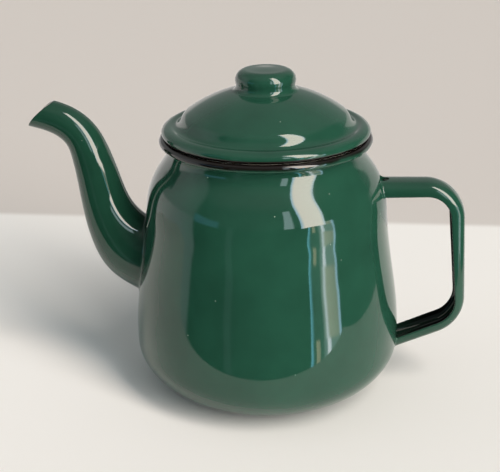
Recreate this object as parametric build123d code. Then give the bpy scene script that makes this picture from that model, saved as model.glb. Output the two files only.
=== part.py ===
"""Enamelled steel teapot with an S-curved spout, a channel handle and a lift-off lid.

Millimetres, +Z up. The origin is the centre of the flat standing face. The spout
points along -X, the handle along +X, and the pot is symmetric about the XZ plane.
"""
from build123d import *
from math import cos, radians, sin, sqrt
import os

# ---------------------------------------------------------------- driving dimensions
WALL = 1.2                      # steel sheet with its enamel on both sides

BASE_RADIUS = 44.0              # flat disc that the pot stands on
BELLY_RADIUS = 75.0
BELLY_HEIGHT = 35.0             # height of the widest circle
SHOULDER_RADIUS = 65.4
SHOULDER_HEIGHT = 115.0
NECK_RADIUS = 53.3
NECK_HEIGHT = 139.0
RIM_BEAD_RADIUS = 2.2           # section radius of the curled rim
RIM_BEAD_CENTRE = (55.8, 144.7)  # radius and height of the curl's centre

DOME_SPHERE_RADIUS = 74.0
DOME_APEX_HEIGHT = 173.4
DOME_EDGE_RADIUS = 43.0
DOME_ROLL = (45.2, 157.2)       # where the dome's edge rolls over and is steepest
DOME_FLARE = (46.6, 154.8)      # where it sweeps out again towards the groove
GROOVE = (49.7, 152.6)          # lowest ring between the dome and the brim
BRIM_CREST = (51.9, 153.0)
BRIM_OUTER = (56.6, 149.8)
BRIM_TUCK = (55.2, 147.2)       # where the curled edge ends, just above the rim bead
COLLAR_RADIUS = 51.6            # outside of the ring that locates the lid in the mouth
COLLAR_BOTTOM = 139.5

KNOB_RADIUS = 16.3
KNOB_TOP = 182.6
KNOB_EDGE_RADIUS = 5.6
KNOB_CROWN = 0.4                # how far the top rises to its middle
KNOB_WAIST = (15.95, 174.6)
KNOB_FOOT = (16.7, 171.2)

HANDLE_WIDTH = 18.8
HANDLE_CROWN_RISE = 1.6         # how far the crown bulges over the width
HANDLE_CORNER_RADIUS = 5.6      # crown to side flange
HANDLE_FLANGE = 9.5             # blank depth of the flanges, before the edge is trimmed
# corners of the crown line and of the flange edge line, in X and Z, from the upper end
CROWN_LINE = [(40.0, 122.0), (108.2, 123.4), (112.7, 39.4), (50.0, 11.8)]
CROWN_RADII = (22.0, 23.0)
FLANGE_LINE = [(40.0, 113.4), (100.2, 115.8), (107.2, 44.6), (50.0, 18.6)]
FLANGE_RADII = (13.0, 15.0)
DRAIN_NOTCH_RADIUS = 3.2
DRAIN_NOTCH_END = 67.4          # X of the notch's outer end; it runs in to the pot wall

# spout stations: X, Z, tilt of the flow from the vertical, half width in the XZ plane,
# half width along Y. The first station lies inside the pot, the last past the lip.
SPOUT_STATIONS = [
    (-58.0, 69.5, 72.0, 21.6, 18.4),
    (-68.4, 74.8, 60.0, 21.4, 18.0),
    (-77.8, 80.8, 46.0, 20.1, 16.8),
    (-85.0, 90.2, 30.5, 16.9, 15.2),
    (-90.6, 103.4, 18.0, 13.8, 13.3),
    (-94.4, 119.4, 12.5, 12.0, 11.7),
    (-98.1, 133.8, 19.0, 10.7, 10.6),
    (-103.2, 144.9, 38.0, 9.6, 9.6),
    (-112.0, 152.2, 60.0, 9.0, 8.9),
    (-122.5, 156.0, 73.0, 8.6, 8.5),
    (-137.0, 159.4, 79.0, 8.8, 8.6),
]
# three points on the slanted, slightly bowed cut of the spout's mouth, in X and Z
LIP_CUT = [(-132.0, 148.8), (-126.8, 155.6), (-118.2, 162.6)]
LIP_CUT_MARGIN = 6.0            # how far the cut runs on past the tube

STRAINER_HOLE_RADIUS = 2.4      # pierced holes in the pot wall behind the spout
STRAINER_PITCH = 6.6
STRAINER_CENTRE = (-70.0, 74.0)  # X and Z of the middle hole
STRAINER_TILT = 7.5             # lean of the pot wall there, in degrees
STRAINER_RINGS = 2

FAR = 400.0                     # larger than the pot, for half-space cuts
PARALLEL_STEPS = 12             # points that a parallel of a curve passes through


# ---------------------------------------------------------------- shared helpers
def dome_height(radius):
    """Height of the lid dome's outer surface at a distance from the axis."""
    return DOME_APEX_HEIGHT - DOME_SPHERE_RADIUS + sqrt(DOME_SPHERE_RADIUS**2 - radius**2)


def turned(face):
    """Turn a face that is drawn in the XZ plane once round the Z axis."""
    return revolve(face, axis=Axis.Z)


def drawn_in_xz(lines):
    """A face in the XZ plane from lines that close on each other."""
    return Plane.XZ * make_face([edge for line in lines for edge in line.edges()])


def parallel_line(line, distance):
    """The line's parallel at a distance to its left, as a line or a smooth curve."""
    steps = 1 if line.edge().geom_type == GeomType.LINE else PARALLEL_STEPS
    points = []
    for step in range(steps + 1):
        along = line % (step / steps)
        points.append(line @ (step / steps) + Vector(-along.Y, along.X) * distance)
    if steps == 1:
        return Line(*points)
    return Spline(points, tangents=[line % 0, line % 1])


def sheet(lines, distance):
    """The section of a sheet: connected lines in XZ, thickened to their left by a distance."""
    inner = [parallel_line(line, distance) for line in lines]
    start = Line(lines[0] @ 0, inner[0] @ 0)
    end = Line(lines[-1] @ 1, inner[-1] @ 1)
    return drawn_in_xz([*lines, *inner, start, end])


# ---------------------------------------------------------------- pot shell
def pot_profile():
    """Outer line of the pot from the axis to the neck, as X and Z."""
    base = Line((0, 0), (BASE_RADIUS, 0))
    corner = Spline(
        [(BASE_RADIUS, 0), (57.0, 4.4), (69.0, 13.7), (74.2, 23.2), (BELLY_RADIUS, BELLY_HEIGHT)],
        tangents=[(1, 0), (0, 1)],
    )
    side = Spline(
        [(BELLY_RADIUS, BELLY_HEIGHT), (71.9, 65.5), (67.3, 99.0), (SHOULDER_RADIUS, SHOULDER_HEIGHT),
         (61.2, 125.6), (55.3, 134.4), (NECK_RADIUS, NECK_HEIGHT)],
        tangents=[(0, 1), (-0.2, 1)],
    )
    neck = Spline(
        [(NECK_RADIUS, NECK_HEIGHT), (RIM_BEAD_CENTRE[0] - RIM_BEAD_RADIUS + WALL / 2, RIM_BEAD_CENTRE[1])],
        tangents=[(-0.2, 1), (0.2, 1)],
    )
    return [base, corner, side, neck]


def pot_outer_solid():
    """The pot as a solid lump, used to trim what is welded to its outside."""
    lines = pot_profile()
    top = lines[-1] @ 1
    close = Polyline(top, (0, top.Y), (0, 0))
    return turned(drawn_in_xz([*lines, close]))


def strainer_holes():
    """A hexagonal cluster of holes, pierced square to the pot wall behind the spout root."""
    wall_plane = Plane(
        origin=(STRAINER_CENTRE[0], 0, STRAINER_CENTRE[1]),
        x_dir=(0, 1, 0),
        z_dir=(-cos(radians(STRAINER_TILT)), 0, sin(radians(STRAINER_TILT))),
    )
    holes = []
    for row in range(-STRAINER_RINGS, STRAINER_RINGS + 1):
        count = 2 * STRAINER_RINGS + 1 - abs(row)
        for step in range(count):
            across = (step - (count - 1) / 2) * STRAINER_PITCH
            height = row * STRAINER_PITCH * sin(radians(60))
            punch = Cylinder(STRAINER_HOLE_RADIUS, BASE_RADIUS / 2)
            holes.append(wall_plane * Location((across, height)) * punch)
    return holes


def make_pot_shell():
    wall = turned(sheet(pot_profile(), WALL))
    bead = turned(Plane.XZ * Location(RIM_BEAD_CENTRE) * Circle(RIM_BEAD_RADIUS))
    return wall + bead - strainer_holes()


# ---------------------------------------------------------------- spout
def spout_section(station, inset):
    x, z, tilt, half_in_plane, half_across = station
    flow = (-sin(radians(tilt)), 0, cos(radians(tilt)))
    across_plane = Plane(origin=(x, 0, z), x_dir=(0, 1, 0), z_dir=flow)
    return across_plane * Ellipse(half_across - inset, half_in_plane - inset)


def spout_tube(inset):
    return loft([spout_section(station, inset) for station in SPOUT_STATIONS])


def beyond_lip():
    """Everything past the slanted cut of the spout's mouth."""
    cut = ThreePointArc(*LIP_CUT)
    below = (cut @ 0) - (cut % 0) * LIP_CUT_MARGIN
    above = (cut @ 1) + (cut % 1) * LIP_CUT_MARGIN
    away = Vector(-1, 1) * LIP_CUT_MARGIN * 4
    edge = [Line(below, cut @ 0), cut, Line(cut @ 1, above)]
    close = Polyline(above, above + away, below + away, below)
    return extrude(drawn_in_xz([*edge, close]), amount=HANDLE_WIDTH, both=True)


def make_spout_halves(pot):
    tube = spout_tube(0) - spout_tube(WALL) - pot - beyond_lip()
    half_space = Box(FAR, FAR, FAR, align=(Align.CENTER, Align.MIN, Align.CENTER))
    left = tube & half_space
    right = tube & mirror(half_space, Plane.XZ)
    return left, right


# ---------------------------------------------------------------- handle
def handle_path():
    return Plane.XZ * FilletPolyline(*CROWN_LINE, radius=list(CROWN_RADII))


def handle_section():
    """Channel section across the strap: crown up, flanges down."""
    half = HANDLE_WIDTH / 2
    low = -HANDLE_FLANGE
    crown = ThreePointArc((-half, -HANDLE_CROWN_RISE), (0, 0), (half, -HANDLE_CROWN_RISE))
    sides = Polyline((half, -HANDLE_CROWN_RISE), (half, low), (-half, low), (-half, -HANDLE_CROWN_RISE))
    outer = make_face((crown + sides).edges())
    outer = fillet(outer.vertices().group_by(Axis.Y)[-1], HANDLE_CORNER_RADIUS)
    inner = offset(outer, amount=-WALL)
    inner += Location((0, low)) * Rectangle(HANDLE_WIDTH - 2 * WALL, 2 * WALL + HANDLE_FLANGE / 2)
    return outer - inner


def flange_edge_side():
    """The side of the flange edge line that the strap keeps, as a wide slab."""
    edge = FilletPolyline(*FLANGE_LINE, radius=list(FLANGE_RADII))
    start = FLANGE_LINE[0]
    end = FLANGE_LINE[-1]
    close = Line(end, start)
    inside_loop = Plane.XZ * make_face((edge + close).edges())
    return extrude(inside_loop, amount=HANDLE_WIDTH, both=True)


def drain_notch():
    """An oval opening through the crown, next to the pot wall."""
    inner_end = CROWN_LINE[0][0]
    outer_end = DRAIN_NOTCH_END - DRAIN_NOTCH_RADIUS
    length = outer_end - inner_end
    middle = inner_end + length / 2
    notch = Location((middle, 0)) * SlotCenterToCenter(length, 2 * DRAIN_NOTCH_RADIUS)
    return Location((0, 0, CROWN_LINE[0][1])) * extrude(notch, amount=HANDLE_FLANGE / 2, both=True)


def make_handle_strap(pot):
    path = handle_path()
    start = Plane(origin=path @ 0, x_dir=(0, 1, 0), z_dir=path % 0)
    strap = sweep(start * handle_section(), path=path)
    return strap - flange_edge_side() - drain_notch() - pot


# ---------------------------------------------------------------- lid
def lid_profile():
    """Outer line of the lid from the axis to the tucked edge of the brim."""
    middle = DOME_EDGE_RADIUS / 2
    dome_edge = (DOME_EDGE_RADIUS, dome_height(DOME_EDGE_RADIUS))
    dome = ThreePointArc(
        (0, DOME_APEX_HEIGHT),
        (middle, dome_height(middle)),
        dome_edge,
    )
    slope = dome % 1
    groove = Spline(
        [dome_edge, DOME_ROLL, DOME_FLARE, GROOVE, BRIM_CREST],
        tangents=[(slope.X, slope.Y), (1, 0)],
    )
    brim = Spline([BRIM_CREST, BRIM_OUTER, BRIM_TUCK], tangents=[(1, 0), (-1, -0.35)])
    return [dome, groove, brim]


def lid_outer_solid():
    """The lid as a solid lump, used to trim the knob that stands on it."""
    close = Polyline(BRIM_TUCK, (0, BRIM_TUCK[1]), (0, DOME_APEX_HEIGHT))
    return turned(drawn_in_xz([*lid_profile(), close]))


def make_lid_shell():
    return turned(sheet(lid_profile(), -WALL))


def make_lid_collar(lid_shell):
    """A ring whose top edge meets the underside of the groove."""
    height = GROOVE[1] - WALL / 4 - COLLAR_BOTTOM
    ring = Rectangle(WALL, height, align=(Align.MAX, Align.MIN))
    blank = turned(Plane.XZ * Location((COLLAR_RADIUS, COLLAR_BOTTOM)) * ring)
    return blank - lid_shell


def make_lid_knob(lid_lump):
    """A hollow pressed knob whose flared foot sits on the dome."""
    edge_low = KNOB_TOP - KNOB_EDGE_RADIUS
    flat_radius = KNOB_RADIUS - KNOB_EDGE_RADIUS
    crown = Spline(
        [(0, KNOB_TOP + KNOB_CROWN), (flat_radius, KNOB_TOP)],
        tangents=[(1, 0), (1, 0)],
    )
    edge = RadiusArc((flat_radius, KNOB_TOP), (KNOB_RADIUS, edge_low), KNOB_EDGE_RADIUS)
    waist = Spline([(KNOB_RADIUS, edge_low), KNOB_WAIST, KNOB_FOOT], tangents=[(0, -1), (0.8, -0.6)])
    return turned(sheet([crown, edge, waist], -WALL)) - lid_lump


# ---------------------------------------------------------------- the whole teapot
def main():
    os.makedirs("parts", exist_ok=True)
    pot = pot_outer_solid()
    lid_lump = lid_outer_solid()
    spout_left, spout_right = make_spout_halves(pot)
    lid_shell = make_lid_shell()
    nodes = {
        "pot_shell": make_pot_shell(),
        "spout_left_half": spout_left,
        "spout_right_half": spout_right,
        "handle_strap": make_handle_strap(pot),
        "lid_shell": lid_shell,
        "lid_collar": make_lid_collar(lid_shell),
        "lid_knob": make_lid_knob(lid_lump),
    }
    for name, shape in nodes.items():
        export_step(shape, f"parts/{name}.step")


main()
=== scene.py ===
"""An enamelled steel teapot, dressed in the order in which it is put together.

Everything is in metres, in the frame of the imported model: the origin is the middle of the
standing face, +Z is up, the spout points along -X and the handle along +X. Outlines and
stations are written in millimetres and turned to metres where a mesh is made.
"""
import math

import bpy
import numpy as np
from mathutils import Matrix, Vector


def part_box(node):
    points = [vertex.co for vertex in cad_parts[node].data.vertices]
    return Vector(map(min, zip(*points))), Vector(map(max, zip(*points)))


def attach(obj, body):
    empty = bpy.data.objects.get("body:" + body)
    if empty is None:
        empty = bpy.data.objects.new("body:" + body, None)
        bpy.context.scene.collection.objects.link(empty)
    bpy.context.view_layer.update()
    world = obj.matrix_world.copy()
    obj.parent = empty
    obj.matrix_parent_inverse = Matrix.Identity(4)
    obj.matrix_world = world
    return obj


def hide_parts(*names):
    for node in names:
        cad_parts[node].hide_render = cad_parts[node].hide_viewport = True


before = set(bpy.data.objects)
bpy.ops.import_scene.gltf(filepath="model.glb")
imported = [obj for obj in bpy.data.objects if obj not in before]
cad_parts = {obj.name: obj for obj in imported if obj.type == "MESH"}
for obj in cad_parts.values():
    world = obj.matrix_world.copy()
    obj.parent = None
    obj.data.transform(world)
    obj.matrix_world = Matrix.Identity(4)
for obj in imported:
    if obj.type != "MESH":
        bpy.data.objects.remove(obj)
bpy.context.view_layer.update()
MM = 0.001

# ------------------------------------------------------------------ pot shell
# The pot is one sheet of steel, deep drawn and necked in, with its rim curled outwards.
# It is dipped in black ground coat and fired, then coated green outside and white inside
# and fired again; the cover coats run thin on the curled rim, so it stays black.
WALL = 1.2
BASE_RADIUS = 44.0
BELLY = (75.0, 35.0)
SHOULDER = (65.4, 115.0)
NECK = (53.3, 139.0)
RIM_BEAD_RADIUS = 2.2
RIM_BEAD_CENTRE = (55.8, 144.7)
CREVICE_ANGLE = -138          # where the neck meets the curl, seen from the curl's centre
POT_SEGMENTS = 240
POT_STEPS = 14                # mesh rows between two points of the outline
HAMMER_DEPTH = 0.95 * MM      # how uneven the wall is where it was necked in
HAMMER_SIZE = 22.0 * MM
HAMMER_FADE = 25 * MM         # the height over which the unevenness sets in
HAMMER_REST = 0.25            # the share of it that is left below
EVEN_BELOW = 88 * MM
WELD_DISTANCE = 0.002 * MM    # mesh points closer than this are one
SHARP_CORNER = math.radians(48)


def spline(points, start=None, end=None, steps=12):
    """A smooth line through points, spaced by their first two numbers.

    start and end are directions; without them the line ends unbent."""
    points = np.array(points, float)
    span = np.linalg.norm(np.diff(points[:, :2], axis=0), axis=1)
    last = len(points) - 1
    matrix = np.zeros((last + 1, last + 1))
    right = np.zeros(points.shape)
    for row, given, first, step in ((0, start, 0, 1), (last, end, last - 1, -1)):
        if given is None:
            matrix[row, row], matrix[row, row + step] = 2, 1
            right[row] = 3 * (points[first + 1] - points[first]) / span[first]
        else:
            matrix[row, row] = 1
            right[row] = np.array(given, float) / np.linalg.norm(given)
    for i in range(1, last):
        before, after = span[i - 1], span[i]
        matrix[i, i - 1 : i + 2] = after, 2 * (before + after), before
        rise_in, rise_out = points[i] - points[i - 1], points[i + 1] - points[i]
        right[i] = 3 * (after * rise_in / before + before * rise_out / after)
    slope = np.linalg.solve(matrix, right)
    stretches = []
    for i in range(last):
        t = np.linspace(0, 1, steps + 1)[:, None]
        stretch = (
            (2 * t**3 - 3 * t**2 + 1) * points[i]
            + (t**3 - 2 * t**2 + t) * span[i] * slope[i]
            + (3 * t**2 - 2 * t**3) * points[i + 1]
            + (t**3 - t**2) * span[i] * slope[i + 1]
        )
        stretches.append(stretch[: steps if i < last - 1 else steps + 1])
    return np.vstack(stretches)


def arc(centre, radius, start, end, steps):
    """Points round a centre, between two angles in degrees."""
    angles = np.radians(np.linspace(start, end, steps + 1))
    return np.stack([centre[0] + radius * np.cos(angles), centre[1] + radius * np.sin(angles)], 1)


def beside(line, distance):
    """The line moved to its left."""
    along = np.gradient(np.array(line, float), axis=0)
    along /= np.linalg.norm(along, axis=1)[:, None]
    return line + np.stack([-along[:, 1], along[:, 0]], 1) * distance


def outline(*stretches):
    """One outline from stretches of (points, inside, thin).

    inside is 1 on the inner face of a sheet; thin is 1 where the cover coat has run off.
    A point that repeats the one before it is left out."""
    rows = []
    for points, inside, thin in stretches:
        thin = np.broadcast_to(np.array(thin, float), len(points))
        for point, bare in zip(points, thin):
            if not rows or math.dist(rows[-1][:2], point) > 1e-3:
                rows.append((point[0], point[1], inside, bare))
    return np.array(rows)


def add(tree, kind, settings=None, inputs=None):
    """Adds a node with its settings; an input is a value or another node's output."""
    made = tree.nodes.new(kind)
    for name, value in (settings or {}).items():
        setattr(made, name, value)
    for name, value in (inputs or {}).items():
        if isinstance(value, bpy.types.NodeSocket):
            tree.links.new(value, made.inputs[name])
        else:
            made.inputs[name].default_value = value
    return made


def maths(tree, operation, *values):
    """The result of one operation on numbers."""
    return add(tree, "ShaderNodeMath", {"operation": operation}, dict(enumerate(values))).outputs[0]


def ranged(tree, value, low, high, first=0.0, last=1.0, kind="LINEAR"):
    """A number that goes from first to last as the value goes from low to high."""
    inputs = {"Value": value, "From Min": low, "From Max": high, "To Min": first, "To Max": last}
    return add(tree, "ShaderNodeMapRange", {"interpolation_type": kind}, inputs).outputs[0]


def scaled(tree, vector, factor):
    """A vector or a colour, times a number."""
    inputs = {0: vector, "Scale": factor}
    return add(tree, "ShaderNodeVectorMath", {"operation": "SCALE"}, inputs).outputs[0]


def start_tree(name, inputs, output):
    """A geometry tree with named inputs and one output, and the sockets that bring them."""
    tree = bpy.data.node_groups.new(name, "GeometryNodeTree")
    for label, kind in inputs:
        tree.interface.new_socket(label, in_out="INPUT", socket_type="NodeSocket" + kind)
    tree.interface.new_socket(output, in_out="OUTPUT", socket_type="NodeSocketGeometry")
    return tree, add(tree, "NodeGroupInput").outputs


def end_tree(tree, geometry, material, output):
    """Ends a geometry tree in real geometry that has its material."""
    real = add(tree, "GeometryNodeRealizeInstances", None, {"Geometry": geometry})
    inputs = {"Geometry": real.outputs[0], "Material": material}
    coated = add(tree, "GeometryNodeSetMaterial", None, inputs)
    add(tree, "NodeGroupOutput", None, {output: coated.outputs[0]})


def turning_tree():
    """A tree that turns an outline, a chain of points in XZ, once round the Z axis.

    Hammer depth and size make the wall uneven, and much less so below a height."""
    inputs = (
        ("Outline", "Geometry"),
        ("Segments", "Int"),
        ("Rows", "Int"),
        ("Hammer depth", "Float"),
        ("Hammer size", "Float"),
        ("Even below", "Float"),
        ("Seed", "Float"),
        ("Material", "Material"),
    )
    tree, given = start_tree("turned_sheet", inputs, "Piece")
    columns = maths(tree, "ADD", given["Segments"], 1.0)
    grid = add(tree, "GeometryNodeMeshGrid", None, {"Vertices X": columns, "Vertices Y": given["Rows"]})
    place = add(tree, "ShaderNodeSeparateXYZ", None, {0: grid.outputs["UV Map"]}).outputs
    last = maths(tree, "SUBTRACT", given["Rows"], 1.0)
    index = maths(tree, "ROUND", maths(tree, "MULTIPLY", place["Y"], last))
    position = add(tree, "GeometryNodeInputPosition").outputs[0]
    point = add(
        tree,
        "GeometryNodeSampleIndex",
        {"data_type": "FLOAT_VECTOR"},
        {"Geometry": given["Outline"], "Value": position, "Index": index},
    )
    geometry = grid.outputs["Mesh"]
    for name in ("inside", "thin"):
        known = add(tree, "GeometryNodeInputNamedAttribute", {"data_type": "FLOAT"}, {"Name": name})
        there = add(
            tree,
            "GeometryNodeSampleIndex",
            {"data_type": "FLOAT"},
            {"Geometry": given["Outline"], "Value": known.outputs["Attribute"], "Index": index},
        )
        geometry = add(
            tree,
            "GeometryNodeStoreNamedAttribute",
            {"data_type": "FLOAT", "domain": "POINT"},
            {"Geometry": geometry, "Name": name, "Value": there.outputs[0]},
        ).outputs[0]
    turned = add(
        tree,
        "ShaderNodeVectorRotate",
        {"rotation_type": "Z_AXIS"},
        {"Vector": point.outputs[0], "Angle": maths(tree, "MULTIPLY", place["X"], 2 * math.pi)},
    ).outputs[0]
    shaped = add(tree, "GeometryNodeSetPosition", None, {"Geometry": geometry, "Position": turned})
    inputs = {"Geometry": shaped.outputs[0], "Distance": WELD_DISTANCE}
    closed = add(tree, "GeometryNodeMergeByDistance", None, inputs)
    hammer = add(
        tree,
        "ShaderNodeTexNoise",
        {"noise_dimensions": "4D"},
        {
            "W": given["Seed"],
            "Vector": position,
            "Scale": maths(tree, "DIVIDE", 1.0, given["Hammer size"]),
            "Detail": 1.0,
            "Roughness": 0.4,
        },
    ).outputs[0]
    height = add(tree, "ShaderNodeSeparateXYZ", None, {0: position}).outputs["Z"]
    even_below = given["Even below"]
    full = maths(tree, "ADD", even_below, HAMMER_FADE)
    share = ranged(tree, height, even_below, full, HAMMER_REST, 1.0, "SMOOTHSTEP")
    middle = ranged(tree, height, even_below, full, 0.0, 0.5, "SMOOTHSTEP")
    dent = maths(tree, "SUBTRACT", maths(tree, "MULTIPLY", hammer, share), middle)
    inwards = maths(tree, "MULTIPLY", maths(tree, "MULTIPLY", dent, given["Hammer depth"]), -1.0)
    level = {0: position, 1: (1.0, 1.0, 0.0)}
    away = add(tree, "ShaderNodeVectorMath", {"operation": "MULTIPLY"}, level)
    out = add(tree, "ShaderNodeVectorMath", {"operation": "NORMALIZE"}, {0: away.outputs[0]})
    inputs = {"Geometry": closed.outputs[0], "Offset": scaled(tree, out.outputs[0], inwards)}
    dented = add(tree, "GeometryNodeSetPosition", None, inputs)
    smooth = add(tree, "GeometryNodeSetShadeSmooth", None, {"Geometry": dented.outputs[0]})
    end_tree(tree, smooth.outputs[0], given["Material"], "Piece")
    return tree


def plain_piece(holder, name, tree, values):
    """Runs a tree on a holder object and returns its result as an object with a plain mesh."""
    modifier = holder.modifiers.new("make", "NODES")
    modifier.node_group = tree
    for item in tree.interface.items_tree:
        if item.name in values:
            modifier[item.identifier] = values[item.name]
    graph = bpy.context.evaluated_depsgraph_get()
    mesh = bpy.data.meshes.new_from_object(holder.evaluated_get(graph), depsgraph=graph)
    bpy.data.objects.remove(holder)
    mesh.name = name
    piece = bpy.data.objects.new(name, mesh)
    bpy.context.scene.collection.objects.link(piece)
    return piece


TURNING = turning_tree()


def turned_sheet(name, line, material, segments, depth=0.0, size=1.0, even_below=0.0, seed=0.0):
    """A piece turned from an outline that runs outwards at its bottom and back at its top."""
    chain = bpy.data.meshes.new(name + "_outline")
    points = [(r * MM, 0, z * MM) for r, z in line[:, :2]]
    chain.from_pydata(points, [(i, i + 1) for i in range(len(line) - 1)], [])
    for column, attribute in ((2, "inside"), (3, "thin")):
        values = chain.attributes.new(attribute, "FLOAT", "POINT").data
        values.foreach_set("value", line[:, column].astype(np.float32))
    holder = bpy.data.objects.new(name + "_outline", chain)
    bpy.context.scene.collection.objects.link(holder)
    values = {
        "Segments": segments,
        "Rows": len(line),
        "Hammer depth": depth,
        "Hammer size": size,
        "Even below": even_below,
        "Seed": seed,
        "Material": material,
    }
    return plain_piece(holder, name, TURNING, values)


def linear(code):
    """A colour written as sRGB hex, as the linear red, green, blue and alpha of a node."""
    parts = [int(code[i : i + 2], 16) / 255 for i in (1, 3, 5)]
    return [p / 12.92 if p <= 0.04045 else ((p + 0.055) / 1.055) ** 2.4 for p in parts] + [1.0]


GROUND_COAT = "#120c0a"
GRIT = "#8fa596"


def noise(tree, place, size, detail):
    """Soft noise over a piece, with features about as big as size."""
    inputs = {"Vector": place, "Scale": 1 / size, "Detail": detail}
    return add(tree, "ShaderNodeTexNoise", None, inputs).outputs[0]


def mixed(tree, share, first, second):
    """A colour that goes from first to second as share goes from 0 to 1."""
    inputs = {"Factor": share, 6: first, 7: second}
    return add(tree, "ShaderNodeMix", {"data_type": "RGBA"}, inputs).outputs[2]


def fired_enamel(name, cover, inside, ragged, lean=0.0):
    """Vitreous enamel: coloured glass fused on steel. It gives the eye a hard wet gloss over
    a flat colour, with a faint orange peel from the melt, slow drifts of shade where the
    coat is thicker, a few specks of grit, and black ground coat where the cover is thin.

    ragged says how far the edge of the cover coat wanders, lean how much more of the
    ground coat shows on the spout's side."""
    made = bpy.data.materials.new(name)
    made.use_nodes = True
    tree = made.node_tree
    tree.nodes.clear()
    place = add(tree, "ShaderNodeTexCoord").outputs["Object"]
    # The melt pools unevenly, over patches some 25 mm across.
    drift = ranged(tree, noise(tree, place, 25 * MM, 3.0), 0.3, 0.7, 0.88, 1.12)
    side = add(tree, "ShaderNodeAttribute", {"attribute_name": "inside"}).outputs["Fac"]
    coat = mixed(tree, side, scaled(tree, linear(cover)[:3], drift), linear(inside))
    # The cover coat runs off the piece's thin places, up to a wandering edge.
    bare = add(tree, "ShaderNodeAttribute", {"attribute_name": "thin"}).outputs["Fac"]
    reach = maths(tree, "MULTIPLY_ADD", noise(tree, place, 22 * MM, 5.0), 2 * ragged, bare)
    if lean:
        # The black of the ground coat reaches further towards -X, the spout's side.
        along = add(tree, "ShaderNodeSeparateXYZ", None, {0: place}).outputs["X"]
        shift = maths(tree, "MULTIPLY", along, -lean / (55 * MM))
        reach = maths(tree, "ADD", reach, maths(tree, "MULTIPLY", shift, bare))
    thin = ranged(tree, reach, 0.36 + ragged, 0.72 + ragged, kind="SMOOTHSTEP")
    colour = mixed(tree, thin, coat, linear(GROUND_COAT))
    # Grit fired into the coat: sparse specks, up to 0.7 mm across.
    cells = add(tree, "ShaderNodeTexVoronoi", None, {"Vector": place, "Scale": 1 / (11 * MM)})
    speck = ranged(tree, cells.outputs["Distance"], 0.018, 0.034, 1.0, 0.0)
    peel = noise(tree, place, 4.5 * MM, 1.0)
    skin = add(tree, "ShaderNodeBump", None, {"Strength": 0.10, "Distance": 0.04 * MM, "Height": peel})
    knobbly = add(
        tree,
        "ShaderNodeBump",
        None,
        {"Strength": 0.6, "Distance": 0.10 * MM, "Height": speck, "Normal": skin.outputs[0]},
    )
    glass = add(
        tree,
        "ShaderNodeBsdfPrincipled",
        None,
        {
            "Base Color": mixed(tree, speck, colour, linear(GRIT)),
            "Roughness": ranged(tree, noise(tree, place, 35 * MM, 4.0), 0.35, 0.7, 0.035, 0.085),
            "IOR": 1.54,
            "Normal": knobbly.outputs[0],
        },
    )
    add(tree, "ShaderNodeOutputMaterial", None, {"Surface": glass.outputs[0]})
    return made


GREEN = "#1e4637"
LINING_WHITE = "#e4e1d6"
pot_enamel = fired_enamel("pot_vitreous_enamel", GREEN, LINING_WHITE, ragged=0.45, lean=0.35)
pot_wall = np.vstack([
    spline([(0, 0), (BASE_RADIUS, 0)], steps=8)[:-1],
    spline(
        [(BASE_RADIUS, 0), (57.0, 4.4), (69.0, 13.7), (74.2, 23.2), BELLY], (1, 0), (0, 1), POT_STEPS
    )[:-1],
    spline(
        [BELLY, (71.9, 65.5), (67.3, 99.0), SHOULDER, (61.2, 125.6), (55.3, 134.4), NECK],
        (0, 1),
        (-0.2, 1),
        POT_STEPS,
    ),
])
rim_curl = arc(RIM_BEAD_CENTRE, RIM_BEAD_RADIUS, CREVICE_ANGLE, 180, 40)
neck = spline([NECK, (53.25, 141.6), rim_curl[0]], (-0.2, 1), (0.5, 0.6), 8)
throat = spline([rim_curl[-1], (52.75, 142.4), (NECK[0] - WALL, NECK[1])], (0, -1), (-0.1, -1), 8)
curl_height = (rim_curl[:, 1] - RIM_BEAD_CENTRE[1]) / RIM_BEAD_RADIUS
pot_line = outline(
    (pot_wall, 0, 0),
    (neck, 0, np.linspace(0, 1, len(neck)) ** 3),
    (rim_curl, 0, np.clip(0.62 + 0.45 * curl_height, 0, 1)),
    (throat, 1, np.linspace(1, 0, len(throat))),
    (beside(pot_wall, WALL)[::-1][:-1], 1, 0),
    ([(0, WALL)], 1, 0),
)
pot_shell = turned_sheet(
    "pot_shell_enamelled",
    pot_line,
    pot_enamel,
    POT_SEGMENTS,
    HAMMER_DEPTH,
    HAMMER_SIZE,
    EVEN_BELOW,
    seed=4.0,
)

# The strainer behind the spout is a cluster of punched holes in the pot wall.
STRAINER_HOLE_RADIUS = 2.4
STRAINER_PITCH = 6.6
STRAINER_CENTRE = (-70.0, 74.0)
STRAINER_TILT = 7.5
STRAINER_RINGS = 2            # round the middle hole
PUNCH_LENGTH = 16.0
PUNCH_SIDES = 28


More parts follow.
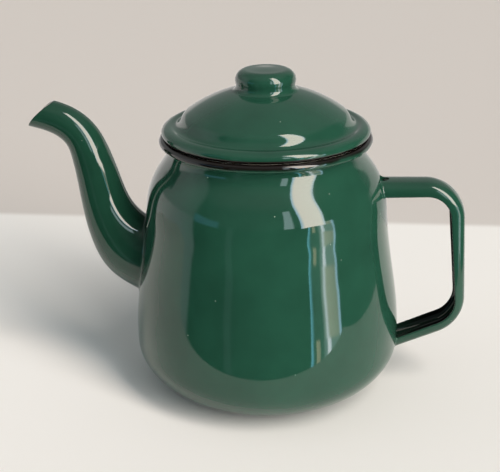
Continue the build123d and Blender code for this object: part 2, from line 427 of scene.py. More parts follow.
def punching_tree():
    """A tree that sets round punches in rings on a triangular grid, along its own X axis."""
    inputs = (
        ("Holder", "Geometry"),
        ("Radius", "Float"),
        ("Pitch", "Float"),
        ("Length", "Float"),
        ("Rings", "Int"),
        ("Material", "Material"),
    )
    tree, given = start_tree("strainer_punches", inputs, "Punches")
    width = maths(tree, "MULTIPLY", given["Rings"], 2.0)
    across = maths(tree, "ADD", width, 1.0)
    inputs = {"Size X": width, "Size Y": width, "Vertices X": across, "Vertices Y": across}
    grid = add(tree, "GeometryNodeMeshGrid", None, inputs)
    position = add(tree, "GeometryNodeInputPosition").outputs[0]
    cell = add(tree, "ShaderNodeSeparateXYZ", None, {0: position}).outputs
    # On a skewed grid a ring number is the largest of |i|, |j| and |i + j|.
    ring = maths(tree, "ABSOLUTE", maths(tree, "ADD", cell["X"], cell["Y"]))
    outside = maths(tree, "GREATER_THAN", ring, maths(tree, "ADD", given["Rings"], 0.5))
    inputs = {"Geometry": grid.outputs["Mesh"], "Selection": outside}
    kept = add(tree, "GeometryNodeDeleteGeometry", {"domain": "POINT"}, inputs)
    half = maths(tree, "MULTIPLY_ADD", cell["Y"], 0.5, cell["X"])
    tall = maths(tree, "MULTIPLY", cell["Y"], math.sqrt(3) / 2)
    skew = add(tree, "ShaderNodeCombineXYZ", None, {"Y": half, "Z": tall})
    spread = scaled(tree, skew.outputs[0], given["Pitch"])
    inputs = {"Geometry": kept.outputs[0], "Position": spread}
    spots = add(tree, "GeometryNodeSetPosition", None, inputs)
    inputs = {"Vertices": PUNCH_SIDES, "Radius": given["Radius"], "Depth": given["Length"]}
    punch = add(tree, "GeometryNodeMeshCylinder", None, inputs)
    inputs = {"Geometry": punch.outputs["Mesh"], "Rotation": (0.0, math.pi / 2, 0.0)}
    lying = add(tree, "GeometryNodeTransform", None, inputs)
    inputs = {"Points": spots.outputs[0], "Instance": lying.outputs[0]}
    set_out = add(tree, "GeometryNodeInstanceOnPoints", None, inputs)
    end_tree(tree, set_out.outputs[0], given["Material"], "Punches")
    return tree


holder = bpy.data.objects.new("punch_holder", bpy.data.meshes.new("punch_holder"))
bpy.context.scene.collection.objects.link(holder)
punches = plain_piece(
    holder,
    "strainer_punches",
    punching_tree(),
    {
        "Radius": STRAINER_HOLE_RADIUS * MM,
        "Pitch": STRAINER_PITCH * MM,
        "Length": PUNCH_LENGTH * MM,
        "Rings": STRAINER_RINGS,
        "Material": pot_enamel,
    },
)
punches.data.transform(
    Matrix.Translation((STRAINER_CENTRE[0] * MM, 0, STRAINER_CENTRE[1] * MM))
    @ Matrix.Rotation(math.radians(STRAINER_TILT), 4, "Y")
)
cut = pot_shell.modifiers.new("punch", "BOOLEAN")
cut.operation = "DIFFERENCE"
cut.solver = "EXACT"
cut.object = punches
graph = bpy.context.evaluated_depsgraph_get()
pierced = bpy.data.meshes.new_from_object(pot_shell.evaluated_get(graph), depsgraph=graph)
pot_shell.modifiers.clear()
pot_shell.data = pierced
pierced.name = "pot_shell_enamelled"
pierced.set_sharp_from_angle(angle=SHARP_CORNER)
bpy.data.objects.remove(punches)
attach(pot_shell, "pot")
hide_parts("pot_shell")

# ------------------------------------------------------------------ spout
# The spout is two pressed halves of sheet, butt welded along their front and back edges
# and onto the pot, and enamelled with it. The enamel drowns the seam to a fine line and
# rounds the corner at the root; it runs thin on the cut lip.

# Each station is the middle of a section, its tilt from upright in degrees, and half its
# height and half its width.
SPOUT_STATIONS = [
    (-58.0, 69.5, 72.0, 21.6, 18.4),
    (-68.4, 74.8, 60.0, 21.4, 18.0),
    (-77.8, 80.8, 46.0, 20.1, 16.8),
    (-85.0, 90.2, 30.5, 16.9, 15.2),
    (-90.6, 103.4, 18.0, 13.8, 13.3),
    (-94.4, 119.4, 12.5, 12.0, 11.7),
    (-98.1, 133.8, 19.0, 10.7, 10.6),
    (-103.2, 144.9, 38.0, 9.6, 9.6),
    (-112.0, 152.2, 60.0, 9.0, 8.9),
    (-122.5, 156.0, 73.0, 8.6, 8.5),
    (-137.0, 159.4, 79.0, 8.8, 8.6),
]
LIP_CUT = [(-132.0, 148.8), (-126.8, 155.6), (-118.2, 162.6)]
SPOUT_FILLET = 1.9            # enamel and weld in the corner at the root
SPOUT_INNER_FILLET = 0.8
SPOUT_ROWS = 120
SEAM_DEPTH = 0.16
SEAM_WIDTH = 0.5
SEAM_REACH = 30               # degrees round the section, past which there is no groove
LIP_ROUND = 0.55
LIP_STEPS = 4
LIP_THIN = [0.35, 0.8, 1, 1, 1, 1, 0.8, 0.35]
SPOUT_SHADED_GREEN = "#193d2f"       # a darker green than the pot's: painted shade for the spout's shade and its reflection of the dim room
FOOT_SINK = 0.45              # how far a welded foot's edge lies inside the pot wall
FOOT_BITE = 0.04              # and how far the foot itself does

wall_radius = np.array(sorted(zip(pot_wall[:, 1], pot_wall[:, 0])))


def above_pot(points):
    """How far points stand off the pot's outer face, and that face's outward direction."""
    height = points[..., 2]
    radius = np.interp(height, wall_radius[:, 0], wall_radius[:, 1])
    slope = (np.interp(height + 0.5, wall_radius[:, 0], wall_radius[:, 1]) - radius) / 0.5
    reach = np.hypot(points[..., 0], points[..., 1])
    flat = points[..., :2] / np.maximum(reach, 1e-6)[..., None]
    out = np.concatenate([flat, -slope[..., None]], -1)
    out /= np.linalg.norm(out, axis=-1)[..., None]
    return (reach - radius) / np.sqrt(1 + slope**2), out


def start_where(line, values):
    """The part of a line from where values first rise through zero, starting exactly there."""
    first = int(np.argmax((values[:-1] <= 0) & (values[1:] > 0)))
    share = values[first] / (values[first] - values[first + 1])
    return np.vstack([line[first] + share * (line[first + 1] - line[first]), line[first + 1 :]])


def spaced(line, places):
    """Points of a line at set distances along it."""
    run = np.r_[0, np.cumsum(np.linalg.norm(np.diff(line, axis=0), axis=1))]
    return np.stack([np.interp(places, run, line[:, k]) for k in range(line.shape[1])], 1), run[-1]


def bent(first, corner, last, steps):
    """A curve from first to last that heads for the corner between them."""
    t = np.linspace(0, 1, steps + 1)[:, None]
    return (1 - t) ** 2 * first + 2 * t * (1 - t) * corner + t**2 * last


def welded_foot(line, facing, radius, steps=7):
    """A line that leaves the pot wall, with its corner filled: sunk edge, foot, fillet, line.

    facing is the side of the sheet that the fillet is on. Returns the foot's rows and the
    distance along the line at which the plain line goes on."""
    corner = line[0]
    _, out = above_pot(corner)
    sideways = facing - out * np.dot(facing, out)
    sideways /= np.linalg.norm(sideways)
    foot = corner + sideways * radius
    stand, foot_out = above_pot(foot)
    foot = foot - foot_out * (stand + FOOT_BITE)
    start, _ = spaced(line, np.array([radius]))
    sunk = foot - foot_out * FOOT_SINK
    return np.vstack([sunk, bent(foot, corner, start[0], steps)]), radius


def looped_piece(name, loops, inside, thin, material):
    """A closed mesh from rows of closed loops; its two end loops are capped.

    A loop goes out along one face of a sheet and back along the other, point for point,
    so that a cap joins each point to its partner."""
    loops = np.array(loops)
    rows, size = loops.shape[:2]
    vertices = loops.reshape(-1, 3) * MM
    faces = []
    for i in range(rows - 1):
        for k in range(size):
            after = (k + 1) % size
            faces.append((i * size + k, i * size + after, (i + 1) * size + after, (i + 1) * size + k))
    last = (rows - 1) * size
    for k in range(size // 2 - 1):
        faces.append((k + 1, k, size - 1 - k, size - 2 - k))
        faces.append((last + k, last + k + 1, last + size - 2 - k, last + size - 1 - k))
    mesh = bpy.data.meshes.new(name)
    mesh.from_pydata(vertices.tolist(), [], faces)
    for attribute, values in (("inside", inside), ("thin", thin)):
        data = np.broadcast_to(values, (rows, size)).astype(np.float32).ravel()
        mesh.attributes.new(attribute, "FLOAT", "POINT").data.foreach_set("value", data)
    mesh.shade_smooth()
    mesh.materials.append(material)
    mesh.calc_loop_triangles()
    corners = vertices[np.array([t.vertices for t in mesh.loop_triangles])]
    if np.einsum("ij,ij->i", corners[:, 0], np.cross(corners[:, 1], corners[:, 2])).sum() < 0:
        mesh.flip_normals()
    mesh.set_sharp_from_angle(angle=SHARP_CORNER)
    piece = bpy.data.objects.new(name, mesh)
    bpy.context.scene.collection.objects.link(piece)
    return piece


def circle_through(a, b, c):
    """Centre and radius of the circle through three points of the XZ plane."""
    a, b, c = (np.array(p, float) for p in (a, b, c))
    rows = 2 * np.array([b - a, c - a])
    centre = np.linalg.solve(rows, [b @ b - a @ a, c @ c - a @ a])
    return centre, np.linalg.norm(a - centre)


lip_centre, lip_radius = circle_through(*LIP_CUT)
STATION_STEPS = 24
LAST_UNCUT = 8 * STATION_STEPS        # the lip's cut crosses the spout after this station
spout_line = spline(SPOUT_STATIONS, steps=STATION_STEPS)


def spout_column(angle, inset):
    """A line along the spout's wall at one angle round its section, and the way it faces."""
    x, z, tilt, high, wide = spout_line.T
    tilt = np.radians(tilt)
    front = np.stack([-np.cos(tilt), 0 * tilt, -np.sin(tilt)], 1)
    side = np.array([0.0, 1.0, 0.0])
    line = np.stack([x, 0 * x, z], 1)
    line = line + (high - inset)[:, None] * math.cos(angle) * front
    line = line + (wide - inset)[:, None] * math.sin(angle) * side
    facing = math.cos(angle) / high[:, None] * front + math.sin(angle) / wide[:, None] * side
    facing /= np.linalg.norm(facing, axis=1)[:, None]
    return line, facing


def spout_rows(angle, inset):
    """One face of the spout's wall at one angle: fillet, wall and half of the rounded lip."""
    line, facing = spout_column(angle, inset)
    from_lip = np.hypot(line[:, 0] - lip_centre[0], line[:, 2] - lip_centre[1]) - lip_radius
    inside_lip = from_lip * np.sign(from_lip[LAST_UNCUT])
    inside_lip[:LAST_UNCUT] = 1
    joint = np.hstack([line, facing, inside_lip[:, None]])
    joint = start_where(joint, above_pot(line)[0])
    joint = start_where(joint[::-1], joint[::-1, 6])[::-1]
    line, facing = joint[:, :3], joint[0, 3:6]
    if inset:
        facing = -facing
    foot, begin = welded_foot(line, facing, SPOUT_INNER_FILLET if inset else SPOUT_FILLET)
    _, length = spaced(line, np.array([0.0]))
    middle, _ = spaced(line, np.linspace(begin, length - LIP_ROUND, SPOUT_ROWS)[1:])
    return foot, middle, line[-1]


SEAM_ANGLES = [0, 0.7, 1.4, 2.2, 3.2, 4.6, 6.5, 9]
half_turn = SEAM_ANGLES + list(np.linspace(12.5, 167.5, 42)) + [180 - a for a in SEAM_ANGLES[::-1]]


def spout_half(name, side):
    """One pressed half of the spout; side is +1 or -1."""
    loops = []
    for degrees in half_turn:
        angle = side * math.radians(degrees)
        outer_foot, outer, outer_lip = spout_rows(angle, 0.0)
        inner_foot, inner, inner_lip = spout_rows(angle, WALL)
        edge = (outer_lip + inner_lip) / 2
        # The two faces end a hair apart, so that no two points of the lip are one.
        beside_edge = edge + 0.002 * (inner_lip - edge)
        outer = np.vstack([outer_foot, outer, bent(outer[-1], outer_lip, edge, LIP_STEPS)[1:]])
        inner = np.vstack([inner_foot, inner, bent(inner[-1], inner_lip, beside_edge, LIP_STEPS)[1:]])
        # The seam is a shallow groove where the two halves meet.
        line, facing = spout_column(angle, 0.0)
        gap = np.abs(outer[:, 1])
        at_seam = min(degrees, 180 - degrees) < SEAM_REACH
        groove = SEAM_DEPTH * np.exp(-((gap / SEAM_WIDTH) ** 2)) * at_seam
        near = np.array([np.argmin(((line - p) ** 2).sum(1)) for p in outer])
        outer = outer - facing[near] * groove[:, None]
        loops.append(np.vstack([outer, inner[::-1]]))
    rows = len(loops[0]) // 2
    thin = np.zeros(2 * rows)
    thin[rows - LIP_STEPS : rows + LIP_STEPS] = LIP_THIN
    return looped_piece(name, loops, np.r_[np.zeros(rows), np.ones(rows)], thin, spout_enamel)


# The spout's green is darker than the pot's as painted shade.
spout_enamel = fired_enamel("spout_vitreous_enamel", SPOUT_SHADED_GREEN, LINING_WHITE, ragged=0.25)
for name, node, side in (
    ("spout_left_half_enamelled", "spout_left_half", 1),
    ("spout_right_half_enamelled", "spout_right_half", -1),
):
    half = spout_half(name, side)
    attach(half, "pot")
    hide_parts(node)

# ------------------------------------------------------------------ handle
# The handle is one strip of sheet pressed to a channel, bent to a D and welded to the pot.
# Green was sprayed from outside, so the hollow side keeps its black ground coat. A notch
# at the top lets the enamel drain while it is fired.
HANDLE_WIDTH = 18.8
HANDLE_CROWN_RISE = 1.6
HANDLE_CORNER_RADIUS = 5.6
CROWN_LINE = [(40.0, 122.0), (108.2, 123.4), (112.7, 39.4), (50.0, 11.8)]
CROWN_RADII = (22.0, 23.0)
FLANGE_LINE = [(40.0, 113.4), (100.2, 115.8), (107.2, 44.6), (50.0, 18.6)]
FLANGE_RADII = (13.0, 15.0)
DRAIN_NOTCH_RADIUS = 3.2
DRAIN_NOTCH_END = 67.4
NOTCH_SHARES = (1, 0.94, 0.75, 0.4, 0)    # of its radius: rows of points across the notch
EDGE_TURNS = (-80, -55, -28)  # degrees round a flange's free edge
DEEPEST_FLANGE = 20.0
HANDLE_FILLET = 1.3
HANDLE_ROWS = 150
NEAR_END = 8                  # the place along the strip that gives a foot its direction
HOLLOW_BLACK = "#0b0908"
OVERSPRAY = 0.35              # how much green reaches into the hollow at the pot
OVERSPRAY_REACH = 9.0


def bent_strip(points, radii, step=0.8):
    """A line through points with its corners rounded, as closely spaced points."""
    points = [np.array(p, float) for p in points]
    line = [points[0]]
    for before, corner, after, radius in zip(points, points[1:], points[2:], radii):
        back = (before - corner) / np.linalg.norm(before - corner)
        on = (after - corner) / np.linalg.norm(after - corner)
        half = math.acos(np.clip(back @ on, -1, 1)) / 2
        reach = radius / math.tan(half)
        inner = (back + on) / np.linalg.norm(back + on)
        centre = corner + inner * radius / math.sin(half)
        first, last = corner + back * reach, corner + on * reach
        start = math.atan2(*(first - centre)[::-1])
        sweep = math.remainder(math.atan2(*(last - centre)[::-1]) - start, 2 * math.pi)
        turns = start + sweep * np.linspace(0, 1, 40)
        line += list(centre + radius * np.stack([np.cos(turns), np.sin(turns)], 1))
    line.append(points[-1])
    line = np.array(line)
    run = np.r_[0, np.cumsum(np.linalg.norm(np.diff(line, axis=0), axis=1))]
    places = np.linspace(0, run[-1], int(run[-1] / step))
    return np.stack([np.interp(places, run, line[:, k]) for k in (0, 1)], 1)


crown = bent_strip(CROWN_LINE, CROWN_RADII)
flange_edge = bent_strip(FLANGE_LINE, FLANGE_RADII, step=0.2)
heading = np.gradient(crown, axis=0)
heading /= np.linalg.norm(heading, axis=1)[:, None]
outward = np.stack([-heading[:, 1], heading[:, 0]], 1)


def flange_depths():
    """How deep the side flanges are at each point of the crown."""
    depths = []
    for point, away, ahead in zip(crown, outward, heading):
        offset = flange_edge - point
        above = offset @ away
        aside = np.abs(offset @ ahead) + 1e3 * ((above > 0) | (above < -DEEPEST_FLANGE))
        nearest = np.argsort(aside)[:2]
        depths.append(-above[nearest].mean())
    return np.array(depths)


depth = flange_depths()
smoothing = np.hanning(9) / np.hanning(9).sum()
depth = np.convolve(np.pad(depth, 4, mode="edge"), smoothing, "valid")

half_width = HANDLE_WIDTH / 2
crown_radius = (half_width**2 + HANDLE_CROWN_RISE**2) / (2 * HANDLE_CROWN_RISE)
corner_y = half_width - HANDLE_CORNER_RADIUS
corner_h = math.sqrt((crown_radius - HANDLE_CORNER_RADIUS) ** 2 - corner_y**2) - crown_radius
corner_turn = math.atan2(corner_h + crown_radius, corner_y)
edge_round = WALL / 2
# Where the flange is trimmed higher than the corner's foot, the corner starts part way up.
edge_height = edge_round - depth
flange_drop = np.maximum(corner_h - edge_height, 0)
corner_start = np.arcsin(np.clip((edge_height - corner_h) / HANDLE_CORNER_RADIUS, 0, 0.9))


def channel_face(side):
    """One face of the channel across both flanges: free edge, flange, corner and crown.

    side is 1 for the outer face and -1 for the hollow one. Each row is one line along the
    handle: its y and height and the way it faces at every place, and how far from the
    middle it is inside the drain notch, or -1."""
    inset = 0.0 if side > 0 else WALL
    radius = HANDLE_CORNER_RADIUS - inset
    turned_y, turned_h = np.cos(corner_start), np.sin(corner_start)
    middle = HANDLE_CORNER_RADIUS - edge_round
    rows = []
    for degrees in EDGE_TURNS:
        turn = math.radians(degrees if side > 0 else -180 - degrees) + corner_start
        y = corner_y + middle * turned_y + edge_round * np.cos(turn)
        h = corner_h + middle * turned_h + edge_round * np.sin(turn) - flange_drop
        rows.append((y, h, np.cos(turn), np.sin(turn), -1))
    for share in np.linspace(1, 0, 6)[:-1]:
        y = corner_y + radius * turned_y
        h = corner_h + radius * turned_h - share * flange_drop
        rows.append((y, h, side * turned_y, side * turned_h, -1))
    for share in np.linspace(0, 1, 12):
        turn = corner_start + share * (corner_turn - corner_start)
        y = corner_y + radius * np.cos(turn)
        h = corner_h + radius * np.sin(turn)
        rows.append((y, h, side * np.cos(turn), side * np.sin(turn), -1))
    shrink = (crown_radius - inset) / crown_radius
    flat = np.ones(len(depth))
    across_notch = [share * DRAIN_NOTCH_RADIUS for share in NOTCH_SHARES]
    for y, place in [(DRAIN_NOTCH_RADIUS, -1), *zip(across_notch, across_notch)]:
        rise = math.sqrt(crown_radius**2 - y**2)
        facing_y, facing_h = side * y / crown_radius, side * rise / crown_radius
        height = rise * shrink - crown_radius
        rows.append((y * shrink * flat, height * flat, facing_y * flat, facing_h * flat, place))
    return rows + [(-y, h, -fy, fh, place) for y, h, fy, fh, place in rows[-2::-1]]


FOOT_ROWS = 9


def handle_column(row, side):
    """One line along the handle, filleted at the pot, or begun at the notch's end."""
    y, height, facing_y, facing_h, notch = row
    line = np.stack([crown[:, 0] + height * outward[:, 0], y, crown[:, 1] + height * outward[:, 1]], 1)
    facing = np.stack([facing_h * outward[:, 0], facing_y, facing_h * outward[:, 1]], 1)
    radius = HANDLE_FILLET if side > 0 else HANDLE_FILLET / 2
    middle = len(line) // 2
    ends = []
    for half, toward in (
        (line[: middle + 1], facing[NEAR_END]),
        (line[: middle - 1 : -1], facing[-NEAR_END]),
    ):
        if notch >= 0 and half[0, 2] > line[middle, 2]:
            round_end = math.sqrt(DRAIN_NOTCH_RADIUS**2 - notch**2)
            reach = DRAIN_NOTCH_END - DRAIN_NOTCH_RADIUS + round_end
            half = start_where(half, half[:, 0] - reach)
            begin = 1.0
            foot, _ = spaced(half, np.linspace(0, begin, FOOT_ROWS))
        else:
            half = start_where(half, above_pot(half)[0])
            foot, begin = welded_foot(half, toward, radius, FOOT_ROWS - 2)
        _, length = spaced(half, np.array([0.0]))
        run, _ = spaced(half, np.linspace(begin, length, HANDLE_ROWS // 2)[1:])
        ends.append(np.vstack([foot, run]))
    return np.vstack([ends[0], ends[1][-2::-1]])


handle_enamel = fired_enamel("handle_vitreous_enamel", GREEN, HOLLOW_BLACK, ragged=0.2)
outer_face, hollow_face = channel_face(1), channel_face(-1)
columns = [handle_column(row, 1) for row in outer_face]
columns += [handle_column(row, -1) for row in hollow_face[::-1]]
loops = np.array(columns).transpose(1, 0, 2)
face_points = len(outer_face)
hollow = np.r_[np.zeros(face_points), np.ones(face_points)]
bare_edge = np.zeros(2 * face_points)
bare_edge[:3] = bare_edge[face_points - 3 : face_points + 3] = bare_edge[-3:] = 0.3
from_pot = above_pot(loops)[0]
overspray = 1 - OVERSPRAY * np.exp(-np.maximum(from_pot, 0) / OVERSPRAY_REACH)
handle = looped_piece("handle_strap_enamelled", loops, hollow * overspray, bare_edge, handle_enamel)
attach(handle, "pot")
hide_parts("handle_strap")

# ------------------------------------------------------------------ lid shell
# The lid is spun from one sheet: a shallow dome, a roll down to a groove, and a raised
# brim whose edge tucks under to sit on the pot's curled rim. Green outside, white inside.
DOME_SPHERE_RADIUS = 74.0
DOME_APEX_HEIGHT = 173.4
DOME_EDGE_RADIUS = 43.0
DOME_ROLL = (45.2, 157.2)
DOME_FLARE = (46.6, 154.8)
GROOVE = (49.7, 152.6)
BRIM_CREST = (51.9, 153.0)
BRIM_OUTER = (56.6, 149.8)
BRIM_TUCK = (55.0, 147.1)
BRIM_BARE_AND_SHADE_BELOW = 0.6         # the brim turns black this far under its widest point: bare ground coat at its edge, and painted shade for the gap over the pot's rim
LID_SEGMENTS = 240
LID_SHARP_CORNER = math.radians(60)


def dome_height(radius):
    """The height of the dome's outer face at a radius."""
    return DOME_APEX_HEIGHT - DOME_SPHERE_RADIUS + math.sqrt(DOME_SPHERE_RADIUS**2 - radius**2)


dome = np.array([(r, dome_height(r)) for r in np.linspace(0, DOME_EDGE_RADIUS, 40)])
dome_fall = -DOME_EDGE_RADIUS / math.sqrt(DOME_SPHERE_RADIUS**2 - DOME_EDGE_RADIUS**2)
roll = spline([tuple(dome[-1]), DOME_ROLL, DOME_FLARE, GROOVE, BRIM_CREST], (1, dome_fall), (1, 0), 10)
brim = spline([BRIM_CREST, BRIM_OUTER, BRIM_TUCK], (1, 0), (-1, -0.35), 14)
lid_top = np.vstack([dome[:-1], roll[:-1], brim])
lid_under = beside(lid_top, -WALL)
lid_under[0, 0] = 0.0
# Under the brim's widest point the coat goes black: partly the bare ground coat of the tucked edge, partly
# painted shade standing for the shadowed gap between lid and rim.
brim_bare_and_shade = np.clip((BRIM_OUTER[1] - lid_top[:, 1]) / BRIM_BARE_AND_SHADE_BELOW - 1, 0, 1)
lid_enamel = fired_enamel("lid_vitreous_enamel", GREEN, LINING_WHITE, ragged=0.2)
lid_line = outline(
    (lid_under, 1, brim_bare_and_shade),
    (lid_top[::-1], 0, brim_bare_and_shade[::-1]),
)
lid_shell = turned_sheet(
    "lid_shell_enamelled", lid_line, lid_enamel, LID_SEGMENTS, 0.12 * MM, 26 * MM, seed=9.0
)
lid_shell.data.set_sharp_from_angle(angle=LID_SHARP_CORNER)
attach(lid_shell, "lid")
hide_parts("lid_shell")

# ------------------------------------------------------------------ lid collar
# A plain ring of sheet, butt welded to the underside of the groove, that drops inside the
# pot's neck and keeps the lid on while pouring. It has the white lining coat all over.
COLLAR_RADIUS = 51.6
COLLAR_BOTTOM = 139.5
COLLAR_SEGMENTS = 180

collar_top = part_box("lid_collar")[1].z / MM
collar_edge = arc((COLLAR_RADIUS - WALL / 2, COLLAR_BOTTOM + WALL / 2), WALL / 2, -180, 0, 10)
collar_wall = np.array([(COLLAR_RADIUS, z) for z in np.linspace(COLLAR_BOTTOM + WALL, collar_top, 8)])
edge_thin = np.r_[0, 0.25, 0.5, 0.7, 0.8, 0.85, 0.8, 0.7, 0.5, 0.25, 0]
collar_line = outline(
    (collar_edge, 0, edge_thin),
    (collar_wall, 0, 0),
    (collar_wall[::-1] - (WALL, 0), 0, 0),
    (collar_edge[:1], 0, 0),
)
collar_enamel = fired_enamel("collar_vitreous_enamel", LINING_WHITE, LINING_WHITE, ragged=0.3)
collar = turned_sheet(
    "lid_collar_enamelled", collar_line, collar_enamel, COLLAR_SEGMENTS, 0.08 * MM, 20 * MM, seed=2.0
)
collar.data.set_sharp_from_angle(angle=LID_SHARP_CORNER)
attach(collar, "lid")
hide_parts("lid_collar")

# ------------------------------------------------------------------ lid knob
# The knob is pressed hollow from sheet, with a slightly crowned top and a flared foot that
# is welded to the dome and drowned in enamel.
KNOB_RADIUS = 16.3
KNOB_TOP = 182.6
KNOB_EDGE_RADIUS = 5.6
KNOB_CROWN = 0.4
KNOB_WAIST = (15.95, 174.6)
KNOB_FLARE = (16.25, 172.8)
KNOB_FOOT_RADIUS = 18.3
KNOB_FOOT_BITE = 0.03         # how far the foot's edge lies inside the dome
KNOB_SEGMENTS = 144

flat_radius = KNOB_RADIUS - KNOB_EDGE_RADIUS
crown = spline([(0, KNOB_TOP + KNOB_CROWN), (flat_radius, KNOB_TOP)], (1, 0), (1, 0), 12)
shoulder = arc((flat_radius, KNOB_TOP - KNOB_EDGE_RADIUS), KNOB_EDGE_RADIUS, 90, 0, 18)
foot = (KNOB_FOOT_RADIUS, dome_height(KNOB_FOOT_RADIUS) - KNOB_FOOT_BITE)
foot_fall = -KNOB_FOOT_RADIUS / math.sqrt(DOME_SPHERE_RADIUS**2 - KNOB_FOOT_RADIUS**2)
waist = spline([tuple(shoulder[-1]), KNOB_WAIST, KNOB_FLARE, foot], (0, -1), (1, foot_fall), 10)
knob_top = np.vstack([crown[:-1], shoulder[:-1], waist])
knob_under = beside(knob_top, -WALL)
knob_under[0, 0] = 0.0
knob_under = knob_under[knob_under[:, 1] > foot[1]]
sunk_edge = [(KNOB_FOOT_RADIUS - 1.5, foot[1] - 0.3), (KNOB_FOOT_RADIUS, foot[1] - 0.4)]
knob_line = outline((knob_under, 1, 0), (sunk_edge, 1, 0), (knob_top[::-1], 0, 0))
knob_enamel = fired_enamel("knob_vitreous_enamel", GREEN, HOLLOW_BLACK, ragged=0.2)
knob = turned_sheet("lid_knob_enamelled", knob_line, knob_enamel, KNOB_SEGMENTS, 0.10 * MM, 9 * MM, seed=6.0)
knob.data.set_sharp_from_angle(angle=LID_SHARP_CORNER)
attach(knob, "lid")
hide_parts("lid_knob")

# ------------------------------------------------------------------ table and surroundings
# A plain pale table top. The part under the teapot shows in the enamel as a table does;
# the rest only carries it on out of sight, and the gloss sees the dim room instead.
TABLE_FRONT = -0.143
TABLE_BACK = 0.25
TABLE_LEFT = -1.0
TABLE_RIGHT = 0.30
TABLE_PAINT = "#f1f0ef"
WALL_FOOT_PAINT = "#d3cecb"
EDGE_BLEND = 0.006            # to either side of the table's back edge
FAR_OUT = 6.0


def flat_patch(name, sides, material):
    """A level rectangle at the foot of the teapot, from its left, right, front and back."""
    left, right, front, back = sides
    corners = [(left, front, 0.0), (right, front, 0.0), (right, back, 0.0), (left, back, 0.0)]
    mesh = bpy.data.meshes.new(name)
    mesh.from_pydata(corners, [], [range(len(corners))])
    mesh.materials.append(material)
    patch = bpy.data.objects.new(name, mesh)
    bpy.context.scene.collection.objects.link(patch)
    return patch


table_paint = bpy.data.materials.new("matt_painted_board")
table_paint.use_nodes = True
tree = table_paint.node_tree
tree.nodes.clear()
# Past the table's back edge the paint turns to the deeper tone of the wall's foot.
place = add(tree, "ShaderNodeTexCoord").outputs["Object"]
across = add(tree, "ShaderNodeSeparateXYZ", None, {0: place}).outputs["Y"]
past = ranged(tree, across, TABLE_BACK - EDGE_BLEND, TABLE_BACK + EDGE_BLEND, kind="SMOOTHSTEP")
board = add(
    tree,
    "ShaderNodeBsdfPrincipled",
    None,
    {
        "Base Color": mixed(tree, past, linear(TABLE_PAINT), linear(WALL_FOOT_PAINT)),
        "Roughness": 0.75,
        "IOR": 1.2,
    },
)
add(tree, "ShaderNodeOutputMaterial", None, {"Surface": board.outputs[0]})
flat_patch("table_top", (TABLE_LEFT, TABLE_RIGHT, TABLE_FRONT, TABLE_BACK), table_paint)
for name, sides in (
    ("floor_front", (-FAR_OUT, FAR_OUT, -FAR_OUT, TABLE_FRONT)),
    ("floor_back", (-FAR_OUT, FAR_OUT, TABLE_BACK, FAR_OUT)),
    ("floor_left", (-FAR_OUT, TABLE_LEFT, TABLE_FRONT, TABLE_BACK)),
    ("floor_right", (TABLE_RIGHT, FAR_OUT, TABLE_FRONT, TABLE_BACK)),
):
    flat_patch(name, sides, table_paint).visible_glossy = False

# The camera looks slightly down at the front, a little to the handle's side.
CAMERA_PLACE = (0.0489, -0.5547, 0.3105)
CAMERA_AHEAD = (-0.0970, 0.9229, -0.3725)
CAMERA_ROLL = 0.73
CAMERA_LENS = 76.54
ahead = Vector(CAMERA_AHEAD).normalized()
right = ahead.cross(Vector((0, 0, 1))).normalized()
upward = right.cross(ahead)
roll_by = math.radians(CAMERA_ROLL)
tipped_right = right * math.cos(roll_by) - upward * math.sin(roll_by)
tipped_up = tipped_right.cross(ahead)
camera_data = bpy.data.cameras.new("camera")
camera_data.lens = CAMERA_LENS
camera_data.sensor_width = 36.0
camera = bpy.data.objects.new("camera", camera_data)
turn = Matrix((tipped_right, tipped_up, -ahead)).transposed().to_4x4()
camera.matrix_world = Matrix.Translation(CAMERA_PLACE) @ turn
bpy.context.scene.collection.objects.link(camera)
bpy.context.scene.camera = camera

# The studio is a room that is pale behind the pot and dim before it, with one tall window to
# the right of the camera. Directions are compass angles from the camera's side of the pot,
# positive to the handle's side.
CAMERA_SIDE = math.degrees(math.atan2(CAMERA_PLACE[1], CAMERA_PLACE[0]))
WALL_TONES = [
    (-180, "#d2cecb"),
    (-110, "#fffcfa"),
    (-86, "#dde3e8"),
    (-73, "#c0c8ce"),
    (-71, "#05090a"),
    (-38, "#0a0f10"),
    (-36, "#64757a"),
    (-31, "#64757a"),
    (-29, "#1e2425"),
    (34, "#262d2e"),
    (64, "#303735"),
    (112, "#3a413e"),
    (128, "#dcd8d5"),
    (180, "#d2cecb"),
]
HIGH_TONES = [
    (-180, "#a3a5a4"),
    (-128, "#a3a6a5"),
    (-108, "#b9bdbd"),
    (-92, "#c6ccce"),
    (-74, "#aab2b5"),
    (-68, "#2a3234"),
    (-50, "#4c5856"),
    (34, "#56625f"),
    (62, "#3d4643"),
    (120, "#363d3a"),
    (140, "#8e9190"),
    (180, "#a3a5a4"),
]
WALL_HEIGHTS = (6.0, 10.0)    # over these the walls turn to their upper tones
CEILING_HEIGHTS = (30.0, 55.0)
CEILING_TONE = "#909392"
SUNLIT_EDGES = (31.0, 57.0)   # a sunlit wall outside, seen above the panes
SUNLIT_HEIGHTS = (5.0, 68.0)
SUNLIT_TONES = [(0.0, "#a9c8de"), (0.12, "#fff1e4"), (0.9, "#fff4e8"), (1.0, "#c9d9e6")]
SUNLIT_STRENGTH = 11.0
PANE_EDGES = (37.5, 65.0)
PANE_HEIGHTS = (-45.0, 8.0)
PANE_STRENGTH = 9.0
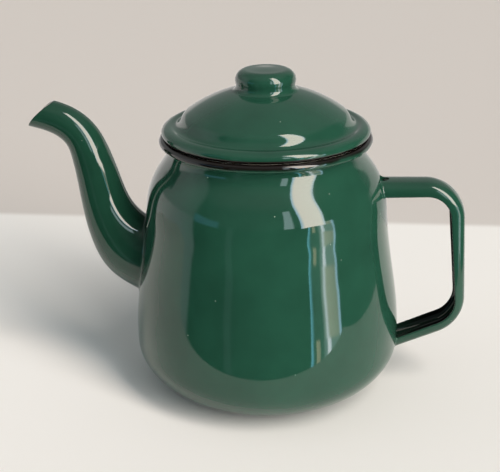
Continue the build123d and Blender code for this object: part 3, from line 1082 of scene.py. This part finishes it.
PANE_TONES = [
    (0.00, "#6fb3c9"),
    (0.05, "#5c9cb3"),
    (0.08, "#333f3e"),
    (0.14, "#39443f"),
    (0.16, "#a39a80"),
    (0.26, "#8f8a74"),
    (0.28, "#333f3e"),
    (0.36, "#3d4947"),
    (0.42, "#6a7876"),
    (0.49, "#7f8e92"),
    (0.52, "#f6faff"),
    (0.59, "#e8f0fa"),
    (0.64, "#74817f"),
    (0.93, "#6f7c79"),
    (0.96, "#a9c6dd"),
    (1.00, "#8fb0c8"),
]
LOW_PANE_TONES = [
    (0.00, "#6fb3c9"),
    (0.06, "#4d7f8f"),
    (0.10, "#2f3a39"),
    (0.38, "#333f3e"),
    (0.46, "#8f9a96"),
    (0.52, "#dfe8ee"),
    (0.60, "#a7a695"),
    (0.90, "#8d8c7d"),
    (0.96, "#a9c6dd"),
    (1.00, "#8fb0c8"),
]
RAIL_SPACING = 9.0            # degrees between the window's rails
SIDE_EDGES = (19.0, 25.0)     # daylight through a narrow window beside the tall one
SIDE_HEIGHTS = (7.0, 36.0)
SIDE_TONE = "#cfe3ea"
SIDE_STRENGTH = 4.0
BLUE_EDGES = (-70.0, -46.0)   # a blue curtain's edge, low over the dark wall
BLUE_HEIGHTS = (7.0, 13.0)
BLUE_TONE = "#79c0e6"
ROOM_STRENGTH = 1.08
BACKDROP_TONE = "#ccc6bf"
bpy.context.scene.view_settings.view_transform = "Standard"

world = bpy.data.worlds.new("studio")
bpy.context.scene.world = world
world.use_nodes = True
tree = world.node_tree
tree.nodes.clear()
direction = add(tree, "ShaderNodeTexCoord").outputs["Generated"]
faced = add(
    tree,
    "ShaderNodeVectorRotate",
    {"rotation_type": "Z_AXIS"},
    {"Vector": direction, "Angle": -math.radians(CAMERA_SIDE)},
)
parts = add(tree, "ShaderNodeSeparateXYZ", None, {0: faced.outputs[0]}).outputs
to_degrees = 180 / math.pi
bearing = maths(tree, "MULTIPLY", maths(tree, "ARCTAN2", parts["Y"], parts["X"]), to_degrees)
rise = maths(tree, "MULTIPLY", maths(tree, "ARCSINE", parts["Z"]), to_degrees)


def tones(position, stops):
    """Colours along a scale from 0 to 1."""
    ramp = add(tree, "ShaderNodeValToRGB", None, {0: position})
    elements = ramp.color_ramp.elements
    elements[0].position, elements[0].color = stops[0][0], linear(stops[0][1])
    elements[1].position, elements[1].color = stops[-1][0], linear(stops[-1][1])
    for place, tone in stops[1:-1]:
        elements.new(place).color = linear(tone)
    return ramp.outputs[0]


def patch(sides, heights, soft):
    """1 inside a patch of the surroundings, given by compass angles and heights."""
    inside = 1.0
    for value, (low, high) in ((bearing, sides), (rise, heights)):
        for outer, edge in ((low - soft, low), (high + soft, high)):
            within = ranged(tree, value, outer, edge, kind="SMOOTHSTEP")
            inside = maths(tree, "MULTIPLY", inside, within)
    return inside


all_round = ranged(tree, bearing, -180.0, 180.0)
low_walls, high_walls = (
    tones(all_round, [((angle + 180) / 360, tone) for angle, tone in stops])
    for stops in (WALL_TONES, HIGH_TONES)
)
walls = mixed(tree, ranged(tree, rise, *WALL_HEIGHTS, kind="SMOOTHSTEP"), low_walls, high_walls)
to_ceiling = ranged(tree, rise, *CEILING_HEIGHTS, kind="SMOOTHSTEP")
surroundings = mixed(tree, to_ceiling, walls, linear(CEILING_TONE))

across_panes = ranged(tree, bearing, *PANE_EDGES)
rails = maths(tree, "PINGPONG", rise, RAIL_SPACING)
lower = ranged(tree, rails, 0.45 * RAIL_SPACING, 0.55 * RAIL_SPACING)
panes = mixed(tree, lower, tones(across_panes, PANE_TONES), tones(across_panes, LOW_PANE_TONES))
sunlit = tones(ranged(tree, bearing, *SUNLIT_EDGES), SUNLIT_TONES)
for sides, heights, soft, glow in (
    (BLUE_EDGES, BLUE_HEIGHTS, 3.0, linear(BLUE_TONE)),
    (PANE_EDGES, PANE_HEIGHTS, 0.7, scaled(tree, panes, PANE_STRENGTH)),
    (SIDE_EDGES, SIDE_HEIGHTS, 1.5, scaled(tree, linear(SIDE_TONE)[:3], SIDE_STRENGTH)),
    (SUNLIT_EDGES, SUNLIT_HEIGHTS, 1.0, scaled(tree, sunlit, SUNLIT_STRENGTH)),
):
    surroundings = mixed(tree, patch(sides, heights, soft), surroundings, glow)
light = add(tree, "ShaderNodeBackground", None, {"Color": surroundings, "Strength": ROOM_STRENGTH})
backdrop = add(tree, "ShaderNodeBackground", None, {"Color": linear(BACKDROP_TONE), "Strength": 1.0})
seen = add(tree, "ShaderNodeLightPath")
either = add(
    tree,
    "ShaderNodeMixShader",
    None,
    {"Fac": seen.outputs["Is Camera Ray"], 1: light.outputs[0], 2: backdrop.outputs[0]},
)
add(tree, "ShaderNodeOutputWorld", None, {"Surface": either.outputs[0]})
